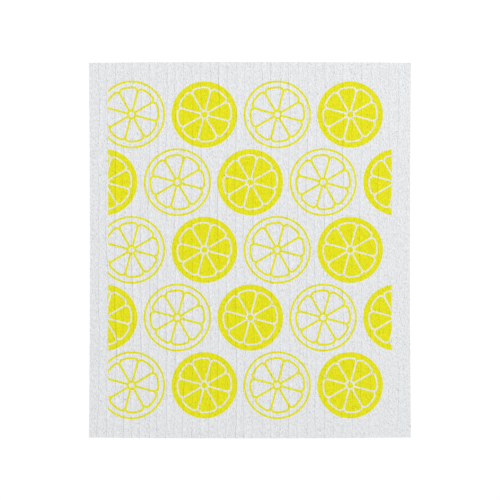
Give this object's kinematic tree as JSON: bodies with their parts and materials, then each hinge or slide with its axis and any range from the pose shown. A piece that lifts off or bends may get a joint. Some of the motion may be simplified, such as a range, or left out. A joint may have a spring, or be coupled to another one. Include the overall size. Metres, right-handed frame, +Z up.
{
  "type": "sponge cloth",
  "caption": "Flat rectangular sponge cloth for the kitchen, off-white ribbed cellulose with a yellow print of citrus slices on its upper face.",
  "frame": {"origin": "under the middle of the sheet, on the surface it lies on", "axes": "+Y along the ribs and the longer side, +X across them, +Z up out of the printed face"},
  "size_m": [0.1704, 0.1994, 0.002],
  "materials": {
    "sponge": "matte"
  },
  "bodies": {
    "root": {"sponge_cloth": "sponge"}
  },
  "joints": []
}
